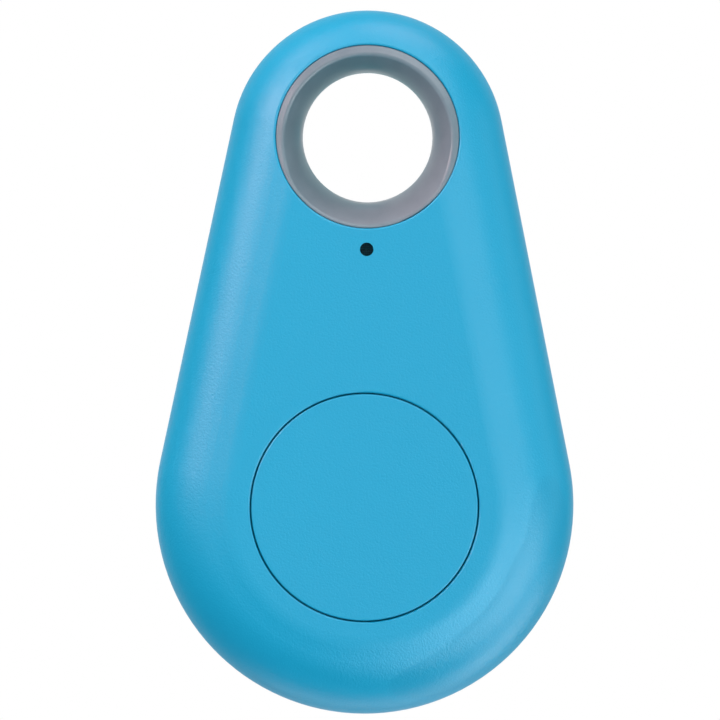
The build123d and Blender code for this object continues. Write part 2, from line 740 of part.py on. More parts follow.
# Negative contact: soldered disc with three raised points
with BuildPart() as negative_contact:
    with BuildSketch(level(BOARD_BACK)):
        with Locations((0, CELL_Z)):
            Circle(3.0)
    extrude(amount=-0.12)
    with BuildSketch(level(BOARD_BACK - 0.12)):
        with Locations((0, CELL_Z)):
            with PolarLocations(1.9, 3, start_angle=90):
                Circle(0.5)
    extrude(amount=-0.13, taper=30)
save(negative_contact.part, "negative_contact")

# Foam pad stuck inside the rear shell, behind the clip
with BuildPart() as battery_pad:
    with BuildSketch(level(-CAVITY_LEVEL)):
        with Locations((0, -26.0)):
            RectangleRounded(12.0, 8.0, 1.5)
    extrude(amount=CAVITY_LEVEL - 4.0)
save(battery_pad.part, "battery_pad")
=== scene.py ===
import json
import math

import bmesh
import bpy
from mathutils import Matrix, Vector


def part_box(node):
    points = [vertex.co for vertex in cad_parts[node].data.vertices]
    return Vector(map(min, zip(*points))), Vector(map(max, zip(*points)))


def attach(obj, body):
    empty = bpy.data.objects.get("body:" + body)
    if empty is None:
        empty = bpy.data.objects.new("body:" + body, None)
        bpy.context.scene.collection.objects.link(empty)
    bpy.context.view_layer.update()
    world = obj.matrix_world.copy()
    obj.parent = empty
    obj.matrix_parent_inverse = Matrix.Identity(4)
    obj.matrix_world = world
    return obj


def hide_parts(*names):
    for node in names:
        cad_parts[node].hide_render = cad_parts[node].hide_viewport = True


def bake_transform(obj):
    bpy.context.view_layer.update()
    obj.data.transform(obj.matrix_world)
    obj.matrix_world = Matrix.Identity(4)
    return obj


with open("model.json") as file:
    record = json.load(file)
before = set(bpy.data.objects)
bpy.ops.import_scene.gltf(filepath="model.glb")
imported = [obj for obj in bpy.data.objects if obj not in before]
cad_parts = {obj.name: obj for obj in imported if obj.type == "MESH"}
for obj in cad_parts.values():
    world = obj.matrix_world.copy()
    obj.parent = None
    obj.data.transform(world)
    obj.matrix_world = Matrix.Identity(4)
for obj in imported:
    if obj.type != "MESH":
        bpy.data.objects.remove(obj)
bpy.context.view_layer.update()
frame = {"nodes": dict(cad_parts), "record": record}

nodes = frame["nodes"]
MM = 0.001


# ------------------------------------------------------------------ material helpers

def new_material(name):
    """A material with an empty Principled shader; returns the material, its tree and the shader."""
    material = bpy.data.materials.new(name)
    material.use_nodes = True
    tree = material.node_tree
    tree.nodes.clear()
    output = tree.nodes.new("ShaderNodeOutputMaterial")
    shader = tree.nodes.new("ShaderNodeBsdfPrincipled")
    tree.links.new(shader.outputs["BSDF"], output.inputs["Surface"])
    return material, tree, shader


def coords(tree):
    return tree.nodes.new("ShaderNodeTexCoord").outputs["Object"]


def noise(tree, scale, detail=2.0, rough=0.5, vector=None):
    """Noise texture in object space; scale in features per metre."""
    texture = tree.nodes.new("ShaderNodeTexNoise")
    texture.inputs["Scale"].default_value = scale
    texture.inputs["Detail"].default_value = detail
    texture.inputs["Roughness"].default_value = rough
    tree.links.new(vector if vector is not None else coords(tree), texture.inputs["Vector"])
    return texture.outputs["Fac"]


def drift_colour(tree, shader, value, dark, light):
    """Base colour that goes from dark to light as a noise value rises."""
    ramp = tree.nodes.new("ShaderNodeValToRGB")
    first, last = ramp.color_ramp.elements
    first.position = 0.3
    first.color = (*dark, 1)
    last.position = 0.7
    last.color = (*light, 1)
    tree.links.new(value, ramp.inputs["Fac"])
    tree.links.new(ramp.outputs["Color"], shader.inputs["Base Color"])


def drift_roughness(tree, shader, value, low, high):
    """Roughness that goes from low to high as a noise value rises."""
    spread = tree.nodes.new("ShaderNodeMapRange")
    spread.inputs["To Min"].default_value = low
    spread.inputs["To Max"].default_value = high
    tree.links.new(value, spread.inputs["Value"])
    tree.links.new(spread.outputs["Result"], shader.inputs["Roughness"])


def add_relief(tree, shader, height, distance, strength):
    """Bump from a noise value; distance is the relief in metres."""
    relief = tree.nodes.new("ShaderNodeBump")
    relief.inputs["Distance"].default_value = distance
    relief.inputs["Strength"].default_value = strength
    tree.links.new(height, relief.inputs["Height"])
    tree.links.new(relief.outputs["Normal"], shader.inputs["Normal"])


# ------------------------------------------------------------------ kinds of material

def soft_touch(name, light, dark):
    """Moulded plastic with a fine satin grain."""
    material, tree, shader = new_material(name)
    grain = noise(tree, scale=6200, detail=3.0, rough=0.6)
    cloud = noise(tree, scale=60)
    drift_colour(tree, shader, cloud, dark, light)
    drift_roughness(tree, shader, grain, low=0.38, high=0.47)
    shader.inputs["IOR"].default_value = 1.68
    add_relief(tree, shader, grain, distance=0.05 * MM, strength=0.5)
    return material


def plain(name, light, dark, rough, metal=0.0, scale=900, relief=0.01 * MM):
    """A material with a slight colour drift, a roughness grain and a little relief."""
    material, tree, shader = new_material(name)
    grain = noise(tree, scale=4000)
    cloud = noise(tree, scale=scale, detail=3.0, rough=0.55)
    drift_colour(tree, shader, cloud, dark, light)
    drift_roughness(tree, shader, grain, low=rough * 0.8, high=min(1.0, rough * 1.25))
    shader.inputs["Metallic"].default_value = metal
    add_relief(tree, shader, grain, distance=relief, strength=0.4)
    return material


def brushed(name, light, dark, rough):
    """Metal with fine brush marks along X."""
    material, tree, shader = new_material(name)
    stretch = tree.nodes.new("ShaderNodeMapping")
    stretch.inputs["Scale"].default_value = (250, 12000, 12000)
    tree.links.new(coords(tree), stretch.inputs["Vector"])
    marks = noise(tree, scale=1.0, vector=stretch.outputs["Vector"])
    drift_colour(tree, shader, marks, dark, light)
    drift_roughness(tree, shader, marks, low=rough * 0.85, high=rough * 1.2)
    shader.inputs["Metallic"].default_value = 1.0
    add_relief(tree, shader, marks, distance=0.004 * MM, strength=0.3)
    return material


def smoke_plastic(name):
    """Smoke-grey translucent plastic."""
    material, tree, shader = new_material(name)
    fine = noise(tree, scale=3500)
    haze = noise(tree, scale=700, detail=3.0, rough=0.6)
    drift_colour(tree, shader, haze, dark=(0.28, 0.288, 0.325), light=(0.315, 0.323, 0.36))
    drift_roughness(tree, shader, fine, low=0.26, high=0.34)
    shader.inputs["Transmission Weight"].default_value = 0.2
    shader.inputs["IOR"].default_value = 1.5
    add_relief(tree, shader, fine, distance=0.004 * MM, strength=0.15)
    return material


# ------------------------------------------------------------------ the materials

BLUE_LIGHT = (0.0011, 0.352, 0.566)
BLUE_DARK = (0.0009, 0.342, 0.554)

MATERIALS = {
    # Housing
    "shell_blue": soft_touch("shell_blue_plastic", BLUE_LIGHT, BLUE_DARK),
    "button_blue": soft_touch("button_blue_plastic", BLUE_LIGHT, BLUE_DARK),
    "smoke_plastic": smoke_plastic("smoke_grey_plastic"),
    "foam": plain("foam_pad", (0.045, 0.045, 0.048), (0.02, 0.02, 0.022), 0.95, 0.0, 2500, 0.1 * MM),
    # Sound hole mesh: its dark blue-green colour is painted shade inside the hole
    "mesh_painted_shade": plain("mesh_painted_shade", (0.02, 0.085, 0.095), (0.012, 0.055, 0.065), 0.4),
    # Circuit board
    "board_mask": plain("board_solder_mask", (0.012, 0.075, 0.045), (0.008, 0.055, 0.035), 0.35, scale=300),
    "masked_copper": plain("masked_copper", (0.028, 0.135, 0.075), (0.022, 0.11, 0.06), 0.3, scale=400),
    "white_ink": plain("white_ink", (0.78, 0.78, 0.74), (0.66, 0.66, 0.62), 0.6, scale=2500),
    "copper": plain("bare_copper", (0.75, 0.38, 0.22), (0.62, 0.30, 0.17), 0.35, metal=1.0),
    "gold_plate": plain("gold_plate", (0.9, 0.66, 0.3), (0.8, 0.56, 0.25), 0.28, metal=1.0),
    "lead_metal": plain("tinned_metal", (0.72, 0.72, 0.7), (0.64, 0.64, 0.62), 0.35, metal=1.0, scale=6000),
    # Components on the board
    "chip_resin": plain("chip_resin", (0.018, 0.018, 0.02), (0.011, 0.011, 0.012), 0.6, relief=0.02 * MM),
    "capacitor_ceramic": plain("capacitor_ceramic", (0.38, 0.26, 0.16), (0.30, 0.20, 0.12), 0.45),
    "resistor_ceramic": plain("resistor_glaze", (0.02, 0.02, 0.025), (0.012, 0.012, 0.015), 0.35),
    "ferrite": plain("ferrite", (0.06, 0.06, 0.065), (0.04, 0.04, 0.045), 0.7, relief=0.03 * MM),
    "led_housing": plain("led_housing", (0.82, 0.82, 0.8), (0.74, 0.74, 0.72), 0.5),
    "led_resin": plain("led_resin", (0.85, 0.8, 0.4), (0.78, 0.72, 0.33), 0.15),
    "sounder_black": plain("sounder_black", (0.02, 0.02, 0.022), (0.012, 0.012, 0.014), 0.5),
    "magnet": plain("magnet_steel", (0.3, 0.3, 0.32), (0.22, 0.22, 0.24), 0.45, metal=1.0),
    "spring_steel": brushed("spring_steel", (0.66, 0.66, 0.65), (0.58, 0.58, 0.57), 0.3),
    # Coin cell
    "cell_steel": brushed("cell_steel", (0.74, 0.74, 0.74), (0.68, 0.68, 0.68), 0.26),
    "gasket_plastic": plain("gasket_plastic", (0.75, 0.76, 0.74), (0.66, 0.67, 0.65), 0.5),
    "lithium": plain("lithium", (0.55, 0.55, 0.56), (0.45, 0.45, 0.46), 0.5, metal=1.0),
    "cathode_pellet": plain("cathode_pellet", (0.03, 0.03, 0.03), (0.02, 0.02, 0.02), 0.85),
}

for subpart in frame["record"]["subparts"]:
    mesh = nodes[subpart["node"]].data
    mesh.materials.clear()
    mesh.materials.append(MATERIALS[subpart["material_slot"]])
    for polygon in mesh.polygons:
        polygon.material_index = 0


# ------------------------------------------------------------------ mesh helpers

X = 0
Z = 2
board_low, board_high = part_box("circuit_board")
BOARD_FRONT_Y = board_low[1]
BOARD_BACK_Y = board_high[1]


def islands(node):
    """Boxes (low, high) of a node's separate solids."""
    bm = bmesh.new()
    bm.from_mesh(nodes[node].data)
    bmesh.ops.remove_doubles(bm, verts=bm.verts, dist=0.0001 * MM)
    seen, boxes = set(), []
    for start in bm.verts:
        if start in seen:
            continue
        stack, group = [start], []
        seen.add(start)
        while stack:
            vertex = stack.pop()
            group.append(vertex.co)
            for edge in vertex.link_edges:
                other = edge.other_vert(vertex)
                if other not in seen:
                    seen.add(other)
                    stack.append(other)
        low = Vector([min(point[i] for point in group) for i in range(3)])
        high = Vector([max(point[i] for point in group) for i in range(3)])
        boxes.append((low, high))
    bm.free()
    return boxes


def finish_piece(bm, name, material, body, bevel=0.0):
    """Turn a bmesh into an object that rides on a CAD body."""
    bmesh.ops.recalc_face_normals(bm, faces=bm.faces)
    mesh = bpy.data.meshes.new(name)
    bm.to_mesh(mesh)
    bm.free()
    piece = bpy.data.objects.new(name, mesh)
    bpy.context.scene.collection.objects.link(piece)
    if bevel:
        edges = piece.modifiers.new("edges", "BEVEL")
        edges.width = bevel
        edges.segments = 2
        edges.limit_method = "ANGLE"
    mesh.materials.append(MATERIALS[material])
    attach(piece, body)


def add_box(bm, low, high):
    """A box between two corners."""
    for vertex in bmesh.ops.create_cube(bm, size=1.0)["verts"]:
        vertex.co = Vector([low[i] + (vertex.co[i] + 0.5) * (high[i] - low[i]) for i in range(3)])


def add_prism(bm, outline, to_point, start, end):
    """A closed outline of 2D points swept between two offsets; to_point maps (a, b, offset) to space."""
    near = [bm.verts.new(to_point(a, b, start)) for a, b in outline]
    far = [bm.verts.new(to_point(a, b, end)) for a, b in outline]
    bm.faces.new(near)
    bm.faces.new(list(reversed(far)))
    for i in range(len(outline)):
        j = (i + 1) % len(outline)
        bm.faces.new((near[i], far[i], far[j], near[j]))


def add_ring(bm, x, z, outer, inner, y0, y1, steps=20):
    """A flat washer with its axis along Y."""
    turns = [2 * math.pi * k / steps for k in range(steps)]
    loops = [
        [bm.verts.new((x + radius * math.cos(turn), y, z + radius * math.sin(turn))) for turn in turns]
        for radius, y in ((outer, y0), (outer, y1), (inner, y1), (inner, y0))
    ]
    for i, one in enumerate(loops):
        two = loops[(i + 1) % len(loops)]
        for k in range(steps):
            following = (k + 1) % steps
            bm.faces.new((one[k], one[following], two[following], two[k]))


def add_ribbon(bm, points, width, y0, y1):
    """A flat strip along a polyline on the board, given in millimetres and mitred at its corners."""
    left, right = [], []
    line = [Vector((x * MM, z * MM)) for x, z in points]
    for i, point in enumerate(line):
        before = (point - line[i - 1]).normalized() if i else (line[1] - point).normalized()
        after = (line[i + 1] - point).normalized() if i < len(line) - 1 else before
        mean = (before + after).normalized()
        side = Vector((-mean.y, mean.x)) * (width / 2 / max(0.4, mean.dot(before)))
        left.append(point + side)
        right.append(point - side)
    for i in range(len(line) - 1):
        corners = [left[i], left[i + 1], right[i + 1], right[i]]
        add_prism(bm, [(c.x, c.y) for c in corners], lambda a, b, y: (a, y, b), y0, y1)


def around_edge(edge, side, inward, outward):
    """The two ends, in rising order, of a stretch that lies across an edge."""
    return sorted((edge - side * inward, edge + side * outward))


def on_board(axis, across, y, along):
    """A point from its place across an edge, on the given axis, its y, and its place along the edge."""
    return (across, y, along) if axis == X else (along, y, across)


def add_section(bm, section, axis, edge, side, start, end, face=BOARD_FRONT_Y, out=-1):
    """A section (outward from an edge, height above the board) swept along that edge."""
    def to_point(outward, height, along):
        return on_board(axis, edge + side * outward, face + out * height, along)

    add_prism(bm, section, to_point, start, end)


# ------------------------------------------------------------------ metal and solder of the components

END_CAP_WRAP = 0.26 * MM
END_CAP_PROUD = 0.012 * MM
CHIP_PAD_INWARD = 0.3 * MM
CHIP_PAD_OUTWARD = 0.42 * MM
CHIP_PAD_MARGIN = 0.12 * MM
CHIP_PAD_THICK = 0.02 * MM
CHIP_SOLDER_REACH = 0.3 * MM
CHIP_SOLDER_RISE = 0.7
CHIP_SOLDER_CLEAR = 0.01 * MM
CHIP_SOLDER_LIFT = 0.005 * MM
SOLDER_MARGIN = 0.05 * MM


def dress_chips(solder):
    """End caps, pads and hollow solder fillets of the chip capacitors and resistors."""
    caps = bmesh.new()
    pads = bmesh.new()
    for low, high in islands("capacitors") + islands("resistors"):
        rise = (high.y - low.y) * CHIP_SOLDER_RISE
        section = [(0, 0), (0, rise)]
        section += [(CHIP_SOLDER_REACH * t, rise * (1 - t) ** 2) for t in (0.15, 0.35, 0.6, 1.0)]
        for side, end in ((-1, low.x), (1, high.x)):
            near, far = around_edge(end, side, END_CAP_WRAP, END_CAP_PROUD)
            add_box(
                caps,
                (near, low.y - END_CAP_PROUD, low.z - END_CAP_PROUD),
                (far, BOARD_FRONT_Y, high.z + END_CAP_PROUD),
            )
            add_section(
                solder, section, X, end + side * CHIP_SOLDER_CLEAR, side,
                low.z - SOLDER_MARGIN, high.z + SOLDER_MARGIN, face=BOARD_FRONT_Y - CHIP_SOLDER_LIFT,
            )
            near, far = around_edge(end, side, CHIP_PAD_INWARD, CHIP_PAD_OUTWARD)
            add_box(
                pads,
                (near, BOARD_FRONT_Y - CHIP_PAD_THICK, low.z - CHIP_PAD_MARGIN),
                (far, BOARD_FRONT_Y, high.z + CHIP_PAD_MARGIN),
            )
    finish_piece(caps, "chip_end_caps", "lead_metal", "housing", bevel=0.03 * MM)
    finish_piece(pads, "chip_pads", "gold_plate", "housing")


RADIO_LEADS = 8
RADIO_PITCH = 0.5 * MM
RADIO_LEAD_HALF = 0.12 * MM
RADIO_LEAD_INWARD = 0.3 * MM
RADIO_LEAD_OUTWARD = 0.06 * MM
RADIO_LEAD_HEIGHT = 0.24 * MM
RADIO_SOLDER = [(0, 0), (0, 0.16 * MM), (0.06 * MM, 0.06 * MM), (0.2 * MM, 0)]


def dress_radio_chip(solder):
    """Edge leads on the four sides of the radio chip, each with its solder."""
    low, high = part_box("bluetooth_chip")
    leads = bmesh.new()
    for k in range(RADIO_LEADS):
        offset = (k - (RADIO_LEADS - 1) / 2) * RADIO_PITCH
        for axis, other in ((Z, X), (X, Z)):
            middle = (low[other] + high[other]) / 2 + offset
            start, end = middle - RADIO_LEAD_HALF, middle + RADIO_LEAD_HALF
            for side, edge in ((-1, low[axis]), (1, high[axis])):
                near, far = around_edge(edge, side, RADIO_LEAD_INWARD, RADIO_LEAD_OUTWARD)
                add_box(
                    leads,
                    on_board(axis, near, BOARD_FRONT_Y - RADIO_LEAD_HEIGHT, start),
                    on_board(axis, far, BOARD_FRONT_Y, end),
                )
                add_section(solder, RADIO_SOLDER, axis, edge + side * RADIO_LEAD_OUTWARD, side, start, end)
    finish_piece(leads, "radio_chip_leads", "lead_metal", "housing", bevel=0.02 * MM)


LEG_SPREAD = 0.95 * MM
LEG_HALF = 0.215 * MM
LEG_SOLDER_HALF = 0.25 * MM
LEG_SECTION = [
    (0.03 * MM, 0), (0.03 * MM, 0.17 * MM), (-0.42 * MM, 0.19 * MM), (-0.5 * MM, 0.3 * MM),
    (-0.52 * MM, 0.55 * MM), (-0.7 * MM, 0.55 * MM), (-0.7 * MM, 0.42 * MM), (-0.64 * MM, 0.38 * MM),
    (-0.62 * MM, 0.2 * MM), (-0.55 * MM, 0.06 * MM), (-0.4 * MM, 0),
]
LEG_SOLDER = [(0.02 * MM, 0), (0.02 * MM, 0.14 * MM), (0.1 * MM, 0.05 * MM), (0.25 * MM, 0)]


def dress_transistor(solder):
    """Bent legs of the transistor, two below and one above, with their solder."""
    low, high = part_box("transistor")
    middle = (low[X] + high[X]) / 2
    legs = bmesh.new()
    places = ((middle - LEG_SPREAD, low[Z], -1), (middle + LEG_SPREAD, low[Z], -1), (middle, high[Z], 1))
    for x, tip, side in places:
        add_section(legs, LEG_SECTION, Z, tip, side, x - LEG_HALF, x + LEG_HALF)
        add_section(solder, LEG_SOLDER, Z, tip, side, x - LEG_SOLDER_HALF, x + LEG_SOLDER_HALF)
    finish_piece(legs, "transistor_leads", "lead_metal", "housing", bevel=0.02 * MM)


TERMINAL_SOLDER = [(0, 0), (0, 0.09 * MM), (0.12 * MM, 0.05 * MM), (0.35 * MM, 0)]


def dress_terminals(solder):
    """Solder at the tips of the switch's and the sounder's terminals."""
    for low, high in islands("switch_terminals") + islands("sounder_terminals"):
        side, tip = (1, high.x) if low.x + high.x > 0 else (-1, low.x)
        add_section(solder, TERMINAL_SOLDER, X, tip, side, low.z - SOLDER_MARGIN, high.z + SOLDER_MARGIN)


CLIP_FOOT_LOW_Z = -27.0 * MM
CLIP_FOOT_HIGH_Z = -22.0 * MM
CLIP_SOLDER_INSET = 0.3 * MM
CLIP_SOLDER = [
    (-0.15 * MM, 0), (-0.15 * MM, 0.16 * MM), (0, 0.16 * MM), (0.1 * MM, 0.07 * MM), (0.35 * MM, 0),
]


def dress_clip(solder):
    """Solder around the feet of the cell clip, on the back of the board."""
    low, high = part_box("cell_clip")
    for side, tip in ((-1, low[X]), (1, high[X])):
        add_section(
            solder, CLIP_SOLDER, X, tip, side,
            CLIP_FOOT_LOW_Z + CLIP_SOLDER_INSET, CLIP_FOOT_HIGH_Z - CLIP_SOLDER_INSET,
            face=BOARD_BACK_Y, out=1,
        )


solder_joints = bmesh.new()
dress_chips(solder_joints)
dress_radio_chip(solder_joints)
dress_transistor(solder_joints)
dress_terminals(solder_joints)
dress_clip(solder_joints)
finish_piece(solder_joints, "solder_joints", "lead_metal", "housing", bevel=0.01 * MM)

WINDING_TURNS = 5
STEPS_PER_TURN = 28
WINDING_R = 1.37 * MM
WINDING_WIRE_R = 0.068 * MM
WINDING_START = 0.39 * MM
WINDING_HEIGHT = 0.64 * MM


def wind_inductor():
    """Wire wound on the inductor's drum."""
    low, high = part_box("inductor")
    middle_x = (low[X] + high[X]) / 2
    middle_z = (low[Z] + high[Z]) / 2
    wire = bpy.data.curves.new("inductor_winding", "CURVE")
    wire.dimensions = "3D"
    wire.bevel_depth = WINDING_WIRE_R
    wire.bevel_resolution = 3
    spline = wire.splines.new("POLY")
    steps = WINDING_TURNS * STEPS_PER_TURN
    spline.points.add(steps)
    for k, point in enumerate(spline.points):
        turn = 2 * math.pi * k / STEPS_PER_TURN
        height = WINDING_START + (k / steps) * WINDING_HEIGHT
        x = middle_x + WINDING_R * math.cos(turn)
        z = middle_z + WINDING_R * math.sin(turn)
        point.co = (x, BOARD_FRONT_Y - height, z, 1)
    wire.materials.append(MATERIALS["copper"])
    winding = bpy.data.objects.new("inductor_winding", wire)
    bpy.context.scene.collection.objects.link(winding)
    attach(winding, "housing")


wind_inductor()

# ------------------------------------------------------------------ tracks, vias and print of the board

# Each track is a polyline of (x, z) corners in millimetres, with a via at both ends
FRONT_TRACKS = [
    [(-9.4, -21.4), (-11.2, -19.6), (-11.2, -16.6)],
    [(-4.6, -20.9), (-3.9, -20.4)],
    [(-4.6, -21.9), (-4.0, -22.2)],
    [(-4.6, -23.4), (-2.4, -23.4), (-1.8, -24.0), (-1.8, -25.0), (-2.9, -25.45)],
    [(-4.6, -23.9), (-3.6, -24.9), (-3.6, -25.45)],
    [(-6.2, -24.9), (-6.2, -25.6), (-6.8, -26.2)],
    [(-8.0, -24.9), (-8.0, -28.4), (-7.6, -28.8)],
    [(-9.4, -23.4), (-10.2, -24.0)],
    [(-6.7, -30.9), (-6.7, -35.6), (-4.95, -37.35)],
    [(-5.4, -31.9), (-4.6, -32.7), (-4.6, -33.6), (-3.6, -34.6), (3.8, -34.6), (4.8, -35.6)],
    [(3.0, -25.45), (4.6, -25.0), (5.9, -23.6)],
    [(3.0, -29.15), (5.4, -29.15), (6.0, -29.8), (6.0, -30.6)],
    [(8.7, -26.4), (10.2, -25.0), (10.2, -20.2), (8.4, -18.4)],
    [(8.9, -23.2), (9.6, -22.5), (9.6, -20.6)],
    [(8.8, -28.0), (9.6, -28.8), (9.6, -31.2)],
    [(3.8, -21.6), (5.0, -20.4), (5.65, -19.9)],
    [(3.8, -20.0), (4.7, -19.1), (5.6, -18.3)],
    [(3.3, -9.3), (5.2, -8.2)],
    [(6.6, -17.8), (6.6, -13.4), (5.2, -12.0), (4.3, -12.0)],
    [(6.6, -6.0), (6.0, -6.6)],
    [(7.6, -6.0), (8.6, -7.0), (8.6, -11.4), (10.2, -13.0), (10.2, -16.4), (11.4, -17.6),
     (11.4, -24.6)],
    [(-4.3, -9.3), (-6.6, -9.3), (-7.2, -9.9), (-7.2, -11.8), (-10.0, -14.8), (-10.0, -19.2),
     (-9.6, -20.4)],
    [(-12.0, -24.8), (-12.0, -20.6), (-11.2, -19.6)],
    [(-3.2, -29.15), (-4.4, -29.15), (-5.0, -29.6)],
    [(-9.0, -29.6), (-9.6, -30.2), (-9.6, -32.6), (-7.6, -34.6)],
]
BACK_TRACKS = [
    [(-5.0, -14.9), (-5.0, -12.6), (-6.2, -11.4), (-6.2, -9.2)],
    [(-3.0, -14.9), (-3.0, -11.9), (-4.4, -10.5)],
    [(-1.0, -14.9), (-1.0, -11.6), (-1.8, -10.8), (-1.8, -9.6)],
    [(1.0, -14.9), (1.0, -12.2), (2.2, -11.0), (5.4, -11.0), (6.4, -10.0), (6.4, -7.4)],
    [(3.0, -14.9), (3.0, -12.8), (3.8, -12.0), (7.0, -12.0)],
    [(5.0, -14.9), (6.2, -16.1), (6.2, -17.8), (10.6, -22.2)],
    [(-5.0, -14.9), (-6.4, -16.3), (-6.4, -17.6), (-10.4, -21.6), (-10.4, -22.4)],
    [(0, -24.3), (0, -18.6), (-1.6, -17.0), (-4.2, -17.0)],
    [(11.6, -27.0), (11.6, -27.8), (10.2, -31.6), (8.0, -34.8), (5.0, -37.2), (2.0, -38.4),
     (-2.0, -38.4), (-5.0, -37.2), (-8.0, -34.8), (-10.2, -31.6), (-11.6, -27.8), (-11.6, -27.0)],
    [(-2.2, -30.0), (-2.2, -34.0), (-4.0, -35.8)],
    [(2.2, -30.0), (2.2, -34.0), (4.0, -35.8)],
    [(3.0, -27.3), (6.4, -27.3), (8.2, -25.5)],
    [(-3.0, -27.3), (-6.4, -27.3), (-8.2, -25.5)],
]
TRACK_WIDTH = 0.22 * MM
TRACK_THICK = 0.02 * MM
VIA_R = 0.3 * MM
VIA_HOLE_R = 0.13 * MM
VIA_THICK = 0.03 * MM


def lay_tracks():
    """Copper tracks under the solder mask, and the vias that join them, on both sides of the board."""
    tracks = bmesh.new()
    vias = bmesh.new()
    for lines, face, out in ((FRONT_TRACKS, BOARD_FRONT_Y, -1), (BACK_TRACKS, BOARD_BACK_Y, 1)):
        track_low, track_high = sorted((face, face + out * TRACK_THICK))
        via_low, via_high = sorted((face, face + out * VIA_THICK))
        ends = []
        for line in lines:
            add_ribbon(tracks, line, TRACK_WIDTH, track_low, track_high)
            ends += [end for end in (line[0], line[-1]) if end not in ends]
        for x, z in ends:
            add_ring(vias, x * MM, z * MM, VIA_R, VIA_HOLE_R, via_low, via_high)
    finish_piece(tracks, "board_tracks", "masked_copper", "housing")
    finish_piece(vias, "board_vias", "gold_plate", "housing")


lay_tracks()

# Components with corner marks around them: length of a mark and its distance, in millimetres
MARKED = {
    "bluetooth_chip": (0.8, 0.45),
    "crystal": (0.6, 0.4),
    "inductor": (0.7, 0.35),
    "switch_base": (0.9, 1.0),
    "sounder_case": (1.2, 0.4),
}
INK_THICK = 0.025 * MM
INK_WIDTH = 0.12 * MM
PIN_MARK_R = 0.18 * MM
PIN_MARK_HOLE_R = 0.05 * MM
PIN_MARK_LEFT = 0.75 * MM
PIN_MARK_ABOVE = 0.3 * MM


def print_board():
    """White print on the front of the board: corner marks, and a ring beside the radio chip's first pin."""
    ink_y = BOARD_FRONT_Y - INK_THICK
    prints = bmesh.new()
    for node, (reach, distance) in MARKED.items():
        low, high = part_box(node)
        for along_x, x in ((1, low[X] / MM - distance), (-1, high[X] / MM + distance)):
            for along_z, z in ((1, low[Z] / MM - distance), (-1, high[Z] / MM + distance)):
                corner = [(x + along_x * reach, z), (x, z), (x, z + along_z * reach)]
                add_ribbon(prints, corner, INK_WIDTH, ink_y, BOARD_FRONT_Y)
    low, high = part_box("bluetooth_chip")
    pin_x = low[X] - PIN_MARK_LEFT
    pin_z = high[Z] + PIN_MARK_ABOVE
    add_ring(prints, pin_x, pin_z, PIN_MARK_R, PIN_MARK_HOLE_R, ink_y, BOARD_FRONT_Y)
    finish_piece(prints, "board_print", "white_ink", "housing")


print_board()

# ------------------------------------------------------------------ sound hole, cell, dome and cover

SOUND_HOLE_Z = -8.3 * MM
MESH_R = 0.49 * MM
MESH_Y = -4.7 * MM
MESH_WIRES = 7
MESH_WIRE_R = 0.03 * MM
MESH_LAYER = 0.025 * MM
WIRE_SIDES = 6


def weave_sound_hole_mesh():
    """Wire mesh in the sound hole, coloured dark blue-green as painted shade of the hole's depth: a layer
    of wires along X, and one of wires along Z in front of it.
    """
    wires = bmesh.new()
    turns = [2 * math.pi * k / WIRE_SIDES for k in range(WIRE_SIDES)]
    section = [(MESH_WIRE_R * math.cos(turn), MESH_WIRE_R * math.sin(turn)) for turn in turns]
    back_y = MESH_Y + MESH_LAYER
    front_y = MESH_Y - MESH_LAYER
    for k in range(MESH_WIRES):
        offset = (k - (MESH_WIRES - 1) / 2) * 2 * MESH_R / MESH_WIRES
        half = math.sqrt(MESH_R ** 2 - offset ** 2)
        add_prism(
            wires, section,
            lambda u, h, run: (run, back_y + h, SOUND_HOLE_Z + offset + u),
            -half, half,
        )
        add_prism(
            wires, section,
            lambda u, h, run: (offset + u, front_y + h, SOUND_HOLE_Z + run),
            -half, half,
        )
    finish_piece(wires, "sound_hole_mesh", "mesh_painted_shade", "housing")


PLUS_Z = -31.5 * MM
PLUS_ARM = 1.5 * MM
PLUS_HALF_BAR = 0.25 * MM
PLUS_PROUD = 0.02 * MM


def stamp_plus():
    """Plus sign stamped on the back of the coin cell."""
    back_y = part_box("cell_can")[1][1]
    quarter = [(PLUS_HALF_BAR, PLUS_HALF_BAR), (PLUS_HALF_BAR, PLUS_ARM), (-PLUS_HALF_BAR, PLUS_ARM)]
    outline = []
    for _ in range(4):
        outline += quarter
        quarter = [(-z, x) for x, z in quarter]
    plus = bmesh.new()
    add_prism(plus, outline, lambda a, b, y: (a, y, PLUS_Z + b), back_y - PLUS_PROUD, back_y + PLUS_PROUD)
    finish_piece(plus, "cell_plus_mark", "cell_steel", "cell")


def bend_snap_dome():
    """A copy of the dome under the stem, in place of the CAD dome, which is hidden."""
    dome = bpy.data.objects.new("snap_dome", nodes["switch_dome"].data.copy())
    bpy.context.scene.collection.objects.link(dome)
    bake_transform(dome)
    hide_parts("switch_dome")


EJECTOR_PLACES = ((-4.5, -11.5), (4.5, -11.5), (-7.0, -33.0), (7.0, -33.0), (0.0, -36.2))
EJECTOR_R = 0.9 * MM
EJECTOR_INNER_R = 0.78 * MM
EJECTOR_LOW_Y = 4.27 * MM
EJECTOR_HIGH_Y = 4.32 * MM


def mark_cover():
    """Rings left by the ejector pins inside the rear shell."""
    marks = bmesh.new()
    for x, z in EJECTOR_PLACES:
        add_ring(marks, x * MM, z * MM, EJECTOR_R, EJECTOR_INNER_R, EJECTOR_LOW_Y, EJECTOR_HIGH_Y, 32)
    finish_piece(marks, "ejector_marks", "shell_blue", "rear_cover")


weave_sound_hole_mesh()
stamp_plus()
bend_snap_dome()
mark_cover()

# ------------------------------------------------------------------ stage

FLOOR_Z = -66 * MM
FLOOR_R = 450 * MM
FLOOR_GLOW = 0.5


